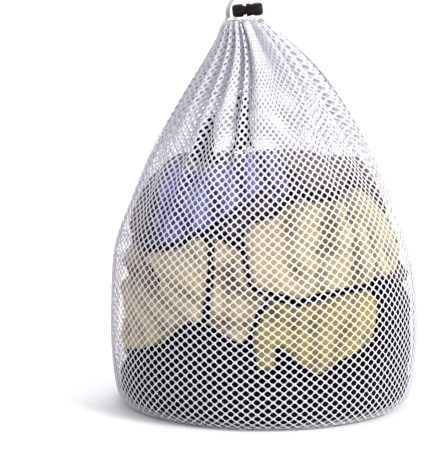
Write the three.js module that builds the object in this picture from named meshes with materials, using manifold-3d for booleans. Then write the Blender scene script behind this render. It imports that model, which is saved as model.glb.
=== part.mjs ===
// Drawstring mesh laundry bag, standing full, with its mouth drawn shut by a spring cord lock.
// Millimetres, +Z up. The origin is on the resting plane, under the middle of the bag.
// The front of the bag faces -Y. The cord lock lies along X on top of the gathered neck.
import * as THREE from 'three';
import { mergeVertices } from 'three/addons/utils/BufferGeometryUtils.js';
import Module from 'manifold-3d';

const wasm = await Module();
wasm.setup();

// ---- driving dimensions ----

const clearGap = 0.3; // between pieces that touch

// Outer outline of the filled bag: height, radius, and how far the bag leans to one side there.
const bagOutline = [
  { z: 0, r: 112, lean: 0 },
  { z: 3, r: 117.5, lean: 0 },
  { z: 9, r: 123, lean: 0 },
  { z: 20, r: 126, lean: 0 },
  { z: 60, r: 128, lean: 0 },
  { z: 105, r: 127.5, lean: -0.5 },
  { z: 140, r: 121.5, lean: -2 },
  { z: 175, r: 109.5, lean: -2.5 },
  { z: 205, r: 96.5, lean: -3 },
  { z: 235, r: 81, lean: -3 },
  { z: 262, r: 64, lean: -3.5 },
  { z: 285, r: 47.5, lean: -5.5 },
  { z: 302, r: 33.5, lean: -9.5 },
  { z: 312.6, r: 24.6, lean: -13.2 },
];
const netWall = 1.2; // knitted mesh and the pleats pressed flat against it
const panelSegments = 18; // around half the bag
const seam = { width: 8, thickness: 1, fromZ: 9, cornerRoom: 6 };

// The gathered hem: a ring that leans with the neck, its channel, and the well in its middle.
const hem = { x: -15.8, z: 318.2, leanPerMm: -0.42, bottomZ: 312.9, topZ: 323.4 };
const hemRadii = { bottom: 24.2, shoulder: 18.4, top: 14.5 };
const channel = { r: 12, bore: 1.7 };
const well = { x: -14.2, r: 5.2 };
const pocket = { r: 3.8, fromX: -13, toX: -3.2 };
const stitch = { wireR: 0.35, z: 315, offset: 1 };

const cord = { r: 1, strandOffset: 1.15, step: 6 };
const knot = { r: 4.2, squash: 0.85, x: -18.4, y: 131.4, z: 22 };

// The cord lock lies along its own X axis. The strands cross it at its origin.
const lock = { x: -12.45, z: 331, tilt: THREE.MathUtils.degToRad(-5) };
const buttonTravel = 2.1;
const barrel = { r: 5.5, start: -3.05, end: 10.65, chamfer: 1.5, boreR: 4.2, boreEnd: 8.6 };
const crossHole = { r: 2.9, shift: buttonTravel / 2 };
const plunger = { stemR: 3.9, stemEnd: 3.6, headR: 5.4, headLength: 9.3 };
const spring = { wireR: 0.3, coilR: 2.6, turns: 2.25 };

// The load: garments packed against the inside of the net.
const loadInset = netWall + seam.thickness + 3 * clearGap;
const load = { bottomZ: loadInset, splitZ: 112, segments: 36, bundleDepth: 42, gap: 0.5 };
const loadDome = [
  { z: 207, r: 91, lean: -3 },
  { z: 216, r: 72, lean: -3 },
  { z: 222, r: 44, lean: -3 },
  { z: 224, r: 14, lean: -3 },
];

// A sleeve of a dark garment stands up in front, above the load and clear of the space kept open.
const sleeve = {
  frontFrom: 36,
  lowZ: 180,
  highZ: 300,
  corners: [
    [-62, 225], [-64, 240], [-57, 250], [-46, 242], [-40, 228], [-33, 228],
    [-33, 250], [-29, 263], [-17, 263], [-11, 250], [-10, 225],
  ],
};

// Each front garment's bundle, seen from the front: its corners as [x, z].
const frontGarments = {
  lavender_garment: {
    colour: 0x8f8fd6,
    corners: [[-97, 153], [-54, 154], [-7, 149], [18, 182], [24, 228], [-97, 228]],
  },
  cream_garment_left: {
    colour: 0xe6dcb4,
    corners: [[-140, 152], [-54, 152], [-54, 64], [-140, 60]],
  },
  cream_garment_middle: {
    colour: 0xe9dfba,
    corners: [[-53, 152], [-8, 147], [2, 112], [-6, 65], [-53, 65]],
  },
  cream_garment_right: {
    colour: 0xe4d8a8,
    corners: [[-5, 147], [19, 181], [60, 182], [140, 168], [140, 113], [4, 113]],
  },
  olive_garment: {
    colour: 0xc9c06f,
    corners: [[3, 111.5], [94, 111.5], [94, 62], [48, 41], [-5, 44], [-5, 64]],
  },
};

// ---- materials ----

function makeMaterial(color, roughness, metalness = 0) {
  return new THREE.MeshStandardMaterial({ color, roughness, metalness });
}

const netMaterial = makeMaterial(0xf4f5f8, 0.7);
const tapeMaterial = makeMaterial(0xf1f2f6, 0.75);
const cordMaterial = makeMaterial(0xeeeef0, 0.8);
const plasticMaterial = makeMaterial(0x121214, 0.38);
const steelMaterial = makeMaterial(0xb9bcc0, 0.3, 1);
const darkCloth = makeMaterial(0x17181f, 0.9);
const mauveCloth = makeMaterial(0x84706f, 0.9);

// ---- solids ----

// A closed mesh as a solid, facing outwards whichever way its faces ran.
function toSolid(geometry) {
  const bare = geometry.clone();
  bare.deleteAttribute('normal');
  bare.deleteAttribute('uv');
  const welded = mergeVertices(bare, 1e-4);
  const positions = welded.attributes.position.array;
  const triangles = [];
  const [a, b, c] = [new THREE.Vector3(), new THREE.Vector3(), new THREE.Vector3()];
  let volume = 0;
  for (let i = 0; i < welded.index.count; i += 3) {
    const corners = [0, 1, 2].map((corner) => welded.index.getX(i + corner));
    if (new Set(corners).size === 3) {
      triangles.push(corners);
      a.fromArray(positions, 3 * corners[0]);
      b.fromArray(positions, 3 * corners[1]);
      c.fromArray(positions, 3 * corners[2]);
      volume += a.dot(b.cross(c));
    }
  }
  const outward = volume < 0 ? triangles.map((corners) => corners.reverse()) : triangles;
  return new wasm.Manifold(new wasm.Mesh({
    numProp: 3,
    vertProperties: new Float32Array(positions),
    triVerts: new Uint32Array(outward.flat()),
  }));
}

function toGeometry(solid) {
  const mesh = solid.getMesh();
  const geometry = new THREE.BufferGeometry();
  geometry.setAttribute('position', new THREE.BufferAttribute(mesh.vertProperties, 3));
  geometry.setIndex(new THREE.BufferAttribute(mesh.triVerts, 1));
  geometry.computeVertexNormals();
  return geometry;
}

function shapeFrom(corners) {
  return new THREE.Shape(corners.map(([x, y]) => new THREE.Vector2(x, y)));
}

// A solid of revolution about Z from [radius, height] points.
function turned(points, segments = 24) {
  const profile = points.map(([r, z]) => new THREE.Vector2(r, z));
  return new THREE.LatheGeometry(profile, segments).rotateX(Math.PI / 2);
}

// The same about X, from [radius, distance along X] points.
function turnedAlongX(points, segments = 24) {
  return turned(points, segments).rotateY(Math.PI / 2);
}

function uprightCylinder(r, x, bottomZ, topZ) {
  const height = topZ - bottomZ;
  const geometry = new THREE.CylinderGeometry(r, r, height, 24).rotateX(Math.PI / 2);
  return toSolid(geometry.translate(x, 0, bottomZ + height / 2));
}

// A plain round tube along a route, closed at both ends.
function roundTube(points, radius, stepLength, sides = 8) {
  const route = new THREE.CatmullRomCurve3(points, false, 'centripetal');
  const ring = Array.from({ length: sides }, (unused, i) => {
    const angle = (i / sides) * 2 * Math.PI;
    return [radius * Math.cos(angle), radius * Math.sin(angle)];
  });
  const steps = Math.round(route.getLength() / stepLength);
  return new THREE.ExtrudeGeometry(shapeFrom(ring), {
    steps,
    bevelEnabled: false,
    extrudePath: route,
  });
}

// A closed skin over a stack of rings, flat across its two ends.
function stackedRings(rows, segments) {
  const positions = [];
  const index = [];
  for (const row of rows) {
    for (let i = 0; i < segments; i += 1) {
      const angle = (i / segments) * 2 * Math.PI;
      positions.push(row.lean + row.r * Math.cos(angle), row.r * Math.sin(angle), row.z);
    }
  }
  for (let ring = 0; ring + 1 < rows.length; ring += 1) {
    for (let i = 0; i < segments; i += 1) {
      const a = ring * segments + i;
      const b = ring * segments + ((i + 1) % segments);
      index.push(a, b, b + segments, a, b + segments, a + segments);
    }
  }
  [0, rows.length - 1].forEach((end) => {
    const middle = positions.length / 3;
    positions.push(rows[end].lean, 0, rows[end].z);
    for (let i = 0; i < segments; i += 1) {
      const edge = [end * segments + i, end * segments + ((i + 1) % segments)];
      index.push(middle, ...(end === 0 ? edge.reverse() : edge));
    }
  });
  const geometry = new THREE.BufferGeometry();
  geometry.setAttribute('position', new THREE.Float32BufferAttribute(positions, 3));
  geometry.setIndex(index);
  return geometry;
}

// ---- net panels and their seams ----

// The net as one thin skin, open at the neck. The two panels are its front and back halves.
function wholeNet() {
  const neckEnd = bagOutline[bagOutline.length - 1];
  const innerRows = bagOutline.map((row) => ({ ...row, r: row.r - netWall }));
  innerRows[0].z = netWall;
  innerRows.push({ z: neckEnd.z + 5, r: neckEnd.r - netWall - 4, lean: neckEnd.lean - 1 });
  const outside = toSolid(stackedRings(bagOutline, 2 * panelSegments));
  return outside.subtract(toSolid(stackedRings(innerRows, 2 * panelSegments)));
}

function netPanel(side) {
  const room = { across: 400, deep: 200, high: 400 };
  const half = new THREE.BoxGeometry(room.across, room.deep, room.high);
  half.translate(0, side * (room.deep + clearGap) / 2, room.high / 2 - 10);
  return toGeometry(wholeNet().intersect(toSolid(half)));
}

// The seam allowance, pressed flat against the inside of the net at one side of the bag.
function sideSeam(side) {
  const outset = netWall + clearGap + 0.35; // the strip is flat across, the net behind it curves
  const rows = bagOutline.filter((row) => row.z >= seam.fromZ);
  const edge = (inset) => rows.map((row) => [row.lean + side * (row.r - inset), row.z]);
  const outline = shapeFrom([...edge(outset), ...edge(outset + seam.thickness).reverse()]);
  const strip = new THREE.ExtrudeGeometry(outline, { depth: seam.width, bevelEnabled: false });
  return strip.rotateX(Math.PI / 2).translate(0, seam.width / 2, 0);
}

function bottomSeam() {
  const length = 2 * (bagOutline[0].r - seam.cornerRoom);
  const strip = new THREE.BoxGeometry(length, seam.width, seam.thickness);
  return strip.translate(0, 0, netWall + clearGap + seam.thickness / 2);
}

// ---- gathered hem and drawstring ----

function hemCasing() {
  const profile = [
    [0, hem.bottomZ],
    [hemRadii.bottom, hem.bottomZ],
    [hemRadii.shoulder, hem.z],
    [hemRadii.top, hem.topZ - 0.8],
    [hemRadii.top - 1.2, hem.topZ],
    [0, hem.topZ],
  ];
  const lean = new THREE.Matrix4().set(
    1, 0, hem.leanPerMm, hem.x - hem.leanPerMm * hem.z,
    0, 1, 0, 0,
    0, 0, 1, 0,
    0, 0, 0, 1,
  );
  const ring = toSolid(turned(profile, 32).applyMatrix4(lean));
  const tunnel = new THREE.TorusGeometry(channel.r, channel.bore, 8, 24);
  tunnel.translate(hem.x, 0, hem.z);
  const opening = new THREE.CylinderGeometry(pocket.r, pocket.r, pocket.toX - pocket.fromX, 16);
  opening.rotateZ(Math.PI / 2).translate((pocket.fromX + pocket.toX) / 2, 0, hem.z);
  const middle = uprightCylinder(well.r, well.x, hem.bottomZ - 2, hem.topZ + 2);
  return toGeometry(ring.subtract(toSolid(tunnel)).subtract(toSolid(opening)).subtract(middle));
}

// The row of stitches that closes the casing's lower edge.
function hemStitching() {
  const share = (stitch.z - hem.bottomZ) / (hem.z - hem.bottomZ);
  const wallR = THREE.MathUtils.lerp(hemRadii.bottom, hemRadii.shoulder, share);
  const ring = new THREE.TorusGeometry(wallR + stitch.offset, stitch.wireR, 6, 32);
  return ring.translate(hem.x + hem.leanPerMm * (stitch.z - hem.z), 0, stitch.z);
}

// A point of the lock's own frame, in the bag's frame.
function fromLock(along, across, up) {
  const point = new THREE.Vector3(along, across, up);
  point.applyAxisAngle(new THREE.Vector3(0, 1, 0), lock.tilt);
  return point.add(new THREE.Vector3(lock.x, 0, lock.z));
}

// The stretch inside the hem: round the neck, out into the well, and up to the lock's underside.
function drawstringLoop() {
  const riser = [
    [-5.4, 2.2, hem.z],
    [-7.4, 1.3, hem.z + 0.1],
    [-9.6, 1.15, hem.z + 0.8],
    [-11.5, 1.15, hem.z + 2.4],
  ];
  const lockEnd = (side) => [
    fromLock(0, side * cord.strandOffset, -barrel.r - clearGap - 2),
    fromLock(0, side * cord.strandOffset, -barrel.r - clearGap),
  ];
  const rise = (side) => riser.map(([x, y, z]) => new THREE.Vector3(x, side * y, z));
  const openAngle = THREE.MathUtils.degToRad(21);
  const ringSteps = 14;
  const round = Array.from({ length: ringSteps + 1 }, (unused, i) => {
    const angle = openAngle + (i / ringSteps) * 2 * (Math.PI - openAngle);
    return new THREE.Vector3(
      hem.x + channel.r * Math.cos(angle),
      channel.r * Math.sin(angle),
      hem.z,
    );
  });
  const start = [...rise(1), ...lockEnd(1)].reverse();
  return roundTube([...start, ...round, ...rise(-1), ...lockEnd(-1)], cord.r, 2.4);
}

// The middle of the two loose tails: over the button and down the back of the bag.
// turn says how far the pair has turned, from one behind the other to side by side.
const tailRoute = [
  { at: fromLock(0, 0, -barrel.r + 0.1), turn: 0 },
  { at: fromLock(0, 0, 0), turn: 0 },
  { at: fromLock(-0.1, 0, barrel.r), turn: 0 },
  { at: new THREE.Vector3(-13.7, 0.3, 339.4), turn: 5 },
  { at: new THREE.Vector3(-17, 1, 341.2), turn: 15 },
  { at: new THREE.Vector3(-22, 2.5, 341.2), turn: 25 },
  { at: new THREE.Vector3(-26.8, 4.6, 339.3), turn: 35 },
  { at: new THREE.Vector3(-30, 7.6, 334.6), turn: 45 },
  { at: new THREE.Vector3(-31, 12, 328.6), turn: 55 },
  { at: new THREE.Vector3(-30, 18.5, 321.5), turn: 70 },
  { at: new THREE.Vector3(-27.5, 27, 312), turn: 80 },
  { at: new THREE.Vector3(-24.5, 37, 300), turn: 90 },
  { at: new THREE.Vector3(-20.5, 51.5, 281), turn: 90 },
  { at: new THREE.Vector3(-16.5, 67.5, 258), turn: 90 },
  { at: new THREE.Vector3(-14.5, 83.5, 232), turn: 90 },
  { at: new THREE.Vector3(-14.5, 99, 203), turn: 90 },
  { at: new THREE.Vector3(-16.5, 112, 173), turn: 90 },
  { at: new THREE.Vector3(-19, 123.5, 139), turn: 90 },
  { at: new THREE.Vector3(-20.5, 129.4, 103), turn: 90 },
  { at: new THREE.Vector3(-20, 131, 65), turn: 90 },
  { at: new THREE.Vector3(knot.x, knot.y, knot.z + 12), turn: 90 },
  { at: new THREE.Vector3(knot.x, knot.y, knot.z + knot.r * knot.squash + 0.9), turn: 90 },
];

function drawstringTail(side) {
  const points = tailRoute.map(({ at, turn }) => {
    const angle = THREE.MathUtils.degToRad(turn);
    const spread = new THREE.Vector3(Math.sin(angle), Math.cos(angle), 0);
    return at.clone().addScaledVector(spread, side * cord.strandOffset);
  });
  return roundTube(points, cord.r, cord.step);
}

function drawstringKnot() {
  const ball = new THREE.SphereGeometry(knot.r, 16, 10).rotateX(Math.PI / 2);
  return ball.scale(1, 1, knot.squash).translate(knot.x, knot.y, knot.z);
}

// ---- cord lock, each piece in the lock's own frame ----

function crossBore(along) {
  return uprightCylinder(crossHole.r, along, -2 * barrel.r, 2 * barrel.r);
}

function lockBarrel() {
  const edge = 0.5;
  const body = toSolid(turnedAlongX([
    [barrel.boreR, barrel.start],
    [barrel.r - edge, barrel.start],
    [barrel.r, barrel.start + edge],
    [barrel.r, barrel.end - barrel.chamfer],
    [barrel.r - barrel.chamfer, barrel.end],
    [0, barrel.end],
    [0, barrel.boreEnd],
    [barrel.boreR, barrel.boreEnd],
    [barrel.boreR, barrel.start],
  ]));
  return toGeometry(body.subtract(crossBore(crossHole.shift)));
}

// At rest the spring holds the plunger out, so its hole stands short of the barrel's.
function lockPlunger() {
  const headEnd = barrel.start - buttonTravel - 0.4;
  const headStart = headEnd - plunger.headLength;
  const body = toSolid(turnedAlongX([
    [0, headStart],
    [plunger.headR - 2.2, headStart],
    [plunger.headR - 0.6, headStart + 1],
    [plunger.headR, headStart + 2.8],
    [plunger.headR, headEnd - 1.6],
    [plunger.headR - 1, headEnd],
    [plunger.stemR, headEnd],
    [plunger.stemR, plunger.stemEnd],
    [0, plunger.stemEnd],
  ]));
  return toGeometry(body.subtract(crossBore(-crossHole.shift)));
}

function lockSpring() {
  const room = clearGap + spring.wireR;
  const start = plunger.stemEnd + room;
  const length = barrel.boreEnd - room - start;
  const count = 24;
  const points = Array.from({ length: count + 1 }, (unused, i) => {
    const angle = (i / count) * spring.turns * 2 * Math.PI;
    const along = start + (i / count) * length;
    return new THREE.Vector3(along, spring.coilR * Math.cos(angle), spring.coilR * Math.sin(angle));
  });
  return roundTube(points, spring.wireR, 1, 6);
}

// ---- the load ----

function loadSpace() {
  const rows = bagOutline
    .filter((row) => row.z > load.bottomZ && row.z < loadDome[0].z)
    .map((row) => ({ ...row, r: row.r - loadInset }));
  const bottomR = bagOutline[1].r - 2 * loadInset;
  const base = { z: load.bottomZ, r: bottomR, lean: 0 };
  return toSolid(stackedRings([base, ...rows, ...loadDome], load.segments));
}

// A bundle's outline run in from the front, drawn in towards its middle by a margin.
function bundlePrism(corners, margin, frontFrom = load.bundleDepth) {
  const middle = corners.reduce((sum, [x, z]) => sum.add(new THREE.Vector2(x, z)), new THREE.Vector2());
  middle.divideScalar(corners.length);
  const drawnIn = corners.map(([x, z]) => {
    const corner = new THREE.Vector2(x, z).sub(middle);
    corner.setLength(corner.length() - margin).add(middle);
    return [corner.x, corner.y];
  });
  const depth = 160 - frontFrom - margin;
  const prism = new THREE.ExtrudeGeometry(shapeFrom(drawnIn), { depth, bevelEnabled: false });
  return toSolid(prism.rotateX(Math.PI / 2).translate(0, -frontFrom - margin, 0));
}

function darkSleeve() {
  const rows = bagOutline
    .filter((row) => row.z > sleeve.lowZ && row.z < sleeve.highZ)
    .map((row) => ({ ...row, r: row.r - loadInset }));
  const space = toSolid(stackedRings(rows, load.segments));
  return toGeometry(space.intersect(bundlePrism(sleeve.corners, 0, sleeve.frontFrom)));
}

function loadLayer(fromZ, toZ) {
  const slab = new THREE.BoxGeometry(400, 400, toZ - fromZ).translate(0, 0, (fromZ + toZ) / 2);
  const bundles = Object.values(frontGarments).map(({ corners }) => bundlePrism(corners, 0));
  return bundles.reduce((rest, bundle) => rest.subtract(bundle), loadSpace().intersect(toSolid(slab)));
}

// ---- the object ----

const bag = new THREE.Group();
const cordLock = new THREE.Group();
cordLock.position.set(lock.x, 0, lock.z);
cordLock.rotation.y = lock.tilt;

function addPiece(group, name, geometry, material) {
  const piece = new THREE.Mesh(geometry, material);
  piece.name = name;
  group.add(piece);
}

addPiece(bag, 'net_panel_front', netPanel(-1), netMaterial);
addPiece(bag, 'net_panel_back', netPanel(1), netMaterial);
addPiece(bag, 'side_seam_left', sideSeam(-1), tapeMaterial);
addPiece(bag, 'side_seam_right', sideSeam(1), tapeMaterial);
addPiece(bag, 'bottom_seam', bottomSeam(), tapeMaterial);
addPiece(bag, 'hem_casing', hemCasing(), tapeMaterial);
addPiece(bag, 'hem_stitching', hemStitching(), cordMaterial);
addPiece(bag, 'drawstring_loop', drawstringLoop(), cordMaterial);
addPiece(bag, 'drawstring_tail_left', drawstringTail(-1), cordMaterial);
addPiece(bag, 'drawstring_tail_right', drawstringTail(1), cordMaterial);
addPiece(bag, 'drawstring_knot', drawstringKnot(), cordMaterial);

addPiece(cordLock, 'lock_barrel', lockBarrel(), plasticMaterial);
addPiece(cordLock, 'lock_plunger', lockPlunger(), plasticMaterial);
addPiece(cordLock, 'lock_spring', lockSpring(), steelMaterial);
bag.add(cordLock);

for (const [name, garment] of Object.entries(frontGarments)) {
  const bundle = loadSpace().intersect(bundlePrism(garment.corners, load.gap));
  addPiece(bag, name, toGeometry(bundle), makeMaterial(garment.colour, 0.9));
}
const halfGap = load.gap / 2;
addPiece(bag, 'dark_garments', toGeometry(loadLayer(0, load.splitZ - halfGap)), darkCloth);
addPiece(bag, 'mauve_garment', toGeometry(loadLayer(load.splitZ + halfGap, 300)), mauveCloth);
addPiece(bag, 'dark_sleeve', darkSleeve(), darkCloth);

export default bag;
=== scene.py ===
import math

import bmesh
import bpy
import numpy as np
from mathutils import Matrix, Vector
from mathutils.geometry import delaunay_2d_cdt


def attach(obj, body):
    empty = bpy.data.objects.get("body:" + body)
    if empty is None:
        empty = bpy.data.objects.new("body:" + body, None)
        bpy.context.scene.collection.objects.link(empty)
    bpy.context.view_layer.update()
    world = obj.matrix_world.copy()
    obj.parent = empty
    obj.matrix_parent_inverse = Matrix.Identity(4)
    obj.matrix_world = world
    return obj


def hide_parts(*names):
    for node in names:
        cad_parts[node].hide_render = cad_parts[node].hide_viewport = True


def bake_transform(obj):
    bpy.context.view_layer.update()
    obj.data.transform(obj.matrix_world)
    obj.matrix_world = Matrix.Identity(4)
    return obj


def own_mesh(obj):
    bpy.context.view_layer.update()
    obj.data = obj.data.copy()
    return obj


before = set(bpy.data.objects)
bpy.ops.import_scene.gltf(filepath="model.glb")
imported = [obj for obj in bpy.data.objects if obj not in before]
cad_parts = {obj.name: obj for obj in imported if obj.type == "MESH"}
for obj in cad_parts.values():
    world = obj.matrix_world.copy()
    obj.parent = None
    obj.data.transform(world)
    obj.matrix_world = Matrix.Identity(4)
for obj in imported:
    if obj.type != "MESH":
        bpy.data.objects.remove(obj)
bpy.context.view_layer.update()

print("frame loaded:", len(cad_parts), "nodes")

mm = 0.001


# the camera, the floor and the light

cameraSettings = {
    "distance": 1.5,
    "elevation": 7.0,       # degrees
    "aimHeight": 0.149,
    "sideways": -0.0437,    # the bag stands a little right of the middle
    "lens": 140.96,
    "sensor": 36.0,
}


def addObject(name, data):
    obj = bpy.data.objects.new(name, data)
    bpy.context.scene.collection.objects.link(obj)
    return obj


def makeCamera(settings):
    tilt = math.radians(settings["elevation"])
    data = bpy.data.cameras.new("camera")
    data.lens = settings["lens"]
    data.sensor_width = settings["sensor"]
    data.clip_end = 20
    obj = addObject("camera", data)
    back = settings["distance"] * math.cos(tilt)
    rise = settings["distance"] * math.sin(tilt)
    obj.location = (settings["sideways"], -back, settings["aimHeight"] + rise)
    obj.rotation_euler = (math.pi / 2 - tilt, 0, 0)
    bpy.context.scene.camera = obj


makeCamera(cameraSettings)


def meshObject(name, points, faces, smooth=True):
    mesh = bpy.data.meshes.new(name)
    mesh.from_pydata([tuple(p) for p in points], [], [tuple(f) for f in faces])
    mesh.update()
    mesh.shade_smooth() if smooth else mesh.shade_flat()
    return addObject(name, mesh)


# one UV pair for each corner of each face, in metres of cloth
def addUvs(obj, pairs):
    obj.data.uv_layers.new(name="cloth").data.foreach_set("uv", np.array(pairs).ravel())


def applyStack(obj):
    with bpy.context.temp_override(active_object=obj, object=obj, selected_objects=[obj]):
        for modifier in list(obj.modifiers):
            bpy.ops.object.modifier_apply(modifier=modifier.name)


def addSubdivision(obj, name):
    finer = obj.modifiers.new(name, "SUBSURF")
    finer.levels = 1
    finer.render_levels = 1


# adds a modifier that cuts a round hole, and gives the cutter, to be removed once it is applied
def addBore(obj, name, radius, length, place, vertices, rotation=(0, 0, 0)):
    bpy.ops.mesh.primitive_cylinder_add(vertices=vertices, radius=radius, depth=length,
                                        location=place, rotation=rotation)
    cutter = bpy.context.object
    cut = obj.modifiers.new(name, "BOOLEAN")
    cut.operation = "DIFFERENCE"
    cut.solver = "EXACT"
    cut.object = cutter
    return cutter


# distance travelled at each point of a route
def travelled(route):
    return np.concatenate([[0], np.cumsum(np.linalg.norm(np.diff(route, axis=0), axis=1))])


# smooth route through a few points, at even steps
def smoothRoute(points, step):
    points = [Vector(p) for p in points]
    ends = [2 * points[0] - points[1], *points, 2 * points[-1] - points[-2]]
    dense = []
    for p0, p1, p2, p3 in zip(ends, ends[1:], ends[2:], ends[3:]):
        t1 = max((p1 - p0).length, 1e-6) ** 0.5
        t2 = t1 + max((p2 - p1).length, 1e-6) ** 0.5
        t3 = t2 + max((p3 - p2).length, 1e-6) ** 0.5
        for i in range(16):
            t = t1 + (t2 - t1) * i / 16
            a1 = p0.lerp(p1, t / t1)
            a2 = p1.lerp(p2, (t - t1) / (t2 - t1))
            a3 = p2.lerp(p3, (t - t2) / (t3 - t2))
            b1 = a1.lerp(a2, t / t2)
            b2 = a2.lerp(a3, (t - t1) / (t3 - t1))
            dense.append(b1.lerp(b2, (t - t1) / (t2 - t1)))
    dense.append(points[-1])
    dense = np.array([tuple(p) for p in dense])
    along = travelled(dense)
    count = max(2, int(round(along[-1] / step)))
    even = np.linspace(0, along[-1], count + 1)
    return np.stack([np.interp(even, along, dense[:, k]) for k in range(3)], axis=1)


def routeLength(route):
    return float(np.linalg.norm(np.diff(route, axis=0), axis=1).sum())


# a round tube on a route, with its own UV map: around, and metres along
def tubeOnRoute(name, route, radius, sides=12, closedLoop=False):
    count = len(route)
    tangents = np.gradient(route, axis=0)
    if closedLoop:
        tangents = np.roll(route, -1, axis=0) - np.roll(route, 1, axis=0)
    tangents /= np.linalg.norm(tangents, axis=1, keepdims=True)
    side = Vector(tangents[0]).orthogonal().normalized()
    rings = []
    for i in range(count):
        tangent = Vector(tangents[i])
        side = (side - tangent * side.dot(tangent)).normalized()
        other = tangent.cross(side)
        for k in range(sides):
            angle = 2 * math.pi * k / sides
            offset = side * math.cos(angle) + other * math.sin(angle)
            rings.append(Vector(route[i]) + radius * offset)
    faces = []
    uvs = []
    step = routeLength(route) / max(count - 1, 1)
    last = count if closedLoop else count - 1
    for i in range(last):
        j = (i + 1) % count
        for k in range(sides):
            m = (k + 1) % sides
            faces.append((i * sides + k, i * sides + m, j * sides + m, j * sides + k))
            low, high = i * step, (i + 1) * step
            here, there = k / sides, (k + 1) / sides
            uvs.append([(here, low), (there, low), (there, high), (here, high)])
    if not closedLoop:
        first = range(sides)[::-1]
        end = range((count - 1) * sides, count * sides)
        for cap in (first, end):
            faces.append(tuple(cap))
            uvs.append([(k / sides, 0.0) for k in range(sides)])
    obj = meshObject(name, rings, faces)
    addUvs(obj, [uv for face in uvs for uv in face])
    return obj


# the drawstring: a loop in the hem, and two tails over the button and down the back

lockPlace = {"x": -12.45 * mm, "z": 331 * mm, "tilt": math.radians(-5)}
cordSettings = {
    "radius": 1.0 * mm,
    "strandOffset": 1.15 * mm,
    "step": 1.6 * mm,
    "knot": (-18.4 * mm, 131.4 * mm, 22 * mm),
    "knotRadius": 3.1 * mm,
    "looseEnd": 9 * mm,
}
hemPlace = {"x": -15.8 * mm, "z": 318.2 * mm, "channel": 12 * mm}


def lockMatrix():
    place = Matrix.Translation((lockPlace["x"], 0, lockPlace["z"]))
    return place @ Matrix.Rotation(lockPlace["tilt"], 4, "Y")


def fromLock(along, across, up):
    return lockMatrix() @ Vector((along * mm, across * mm, up * mm))


# middle of the pair, in millimetres, and the degrees that the pair has turned side by side
throughLock = [(fromLock(0, 0, -5.4), 0), (fromLock(0, 0, 0), 0), (fromLock(-0.1, 0, 5.5), 0)]
downTheBack = [
    (-13.7, 0.3, 339.4, 5), (-17, 1, 341.2, 15), (-22, 2.5, 341.2, 25), (-26.8, 4.6, 339.3, 35),
    (-30, 7.6, 334.6, 45), (-31, 12, 328.6, 55), (-30, 18.5, 321.5, 70), (-27.5, 27, 312, 80),
    (-24.5, 37, 300, 90), (-20.5, 51.5, 281, 90), (-16.5, 67.5, 258, 90), (-14.5, 83.5, 232, 90),
    (-14.5, 99, 203, 90), (-16.5, 112, 173, 90), (-19, 123.5, 139, 90), (-20.5, 129.4, 103, 90),
    (-20, 131, 65, 90), (-18.4, 131.4, 34, 90), (-18.4, 131.4, 26.47, 90),
]
tailRoute = throughLock + [(Vector((x, y, z)) * mm, turn) for x, y, z, turn in downTheBack]


def makeTail(name, side):
    points = []
    for middle, turn in tailRoute:
        angle = math.radians(turn)
        spread = Vector((math.sin(angle), math.cos(angle), 0))
        points.append(middle + spread * side * cordSettings["strandOffset"])
    route = smoothRoute(points, cordSettings["step"])
    obj = tubeOnRoute(name, route, cordSettings["radius"])
    return obj, route


# the two tails are tied together in one overhand knot, and their cut ends stick out below it
def makeKnot(name):
    middle = Vector(cordSettings["knot"])
    turns = []
    for i in range(96):
        t = 2 * math.pi * i / 96
        x = math.sin(t) + 2 * math.sin(2 * t)
        y = -math.sin(3 * t)
        z = math.cos(t) - 2 * math.cos(2 * t)
        turns.append(tuple(middle + Vector((x, 1.15 * y, z)) * cordSettings["knotRadius"] / 3))
    parts = [tubeOnRoute(name, np.array(turns), cordSettings["radius"], closedLoop=True)]
    for side in (-1, 1):
        start = middle + Vector((side * 0.9, 0, -1.6)) * mm
        low = middle + Vector((side * 3.2, 0.4, -3.2)) * mm - Vector((0, 0, cordSettings["looseEnd"]))
        mid = start.lerp(low, 0.5) + Vector((side * -0.7 * mm, 0, 0))
        route = smoothRoute([start, mid, low], 0.8 * mm)
        parts.append(tubeOnRoute(name + "End", route, cordSettings["radius"] * 0.96))
    return joinObjects(parts)


def joinObjects(parts):
    main = parts[0]
    with bpy.context.temp_override(
        active_object=main, object=main, selected_objects=parts, selected_editable_objects=parts
    ):
        bpy.ops.object.join()
    return main


# the loop runs round the neck inside the hem, and both ends rise into the lock
def makeLoop(name):
    middle = Vector((hemPlace["x"], 0, hemPlace["z"]))
    openAngle = math.radians(21)
    rise = [(-5.4, 2.2, 0), (-7.4, 1.3, 0.1), (-9.6, 1.15, 0.8), (-11.5, 1.15, 2.4)]

    def riser(side):
        points = [Vector((x * mm, side * y * mm, hemPlace["z"] + z * mm)) for x, y, z in rise]
        return points + [fromLock(0, side * 1.15, -7.8), fromLock(0, side * 1.15, -5.8)]

    ring = []
    for i in range(15):
        angle = openAngle + i / 14 * 2 * (math.pi - openAngle)
        ring.append(middle + Vector((math.cos(angle), math.sin(angle), 0)) * hemPlace["channel"])
    route = smoothRoute(riser(1)[::-1] + ring + riser(-1), 0.9 * mm)
    return tubeOnRoute(name, route, cordSettings["radius"]), route


tailLeft, tailLeftRoute = makeTail("drawstringTailLeft", -1)
tailRight, tailRightRoute = makeTail("drawstringTailRight", 1)
knotPiece = makeKnot("drawstringKnot")
loopPiece, loopRoute = makeLoop("drawstringLoop")
print("drawstring:", round(routeLength(tailLeftRoute), 4), round(routeLength(tailRightRoute), 4),
      "loop", round(routeLength(loopRoute), 4))


# the cord lock: a barrel and a sprung button, both crossed by the hole for the drawstring

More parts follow.
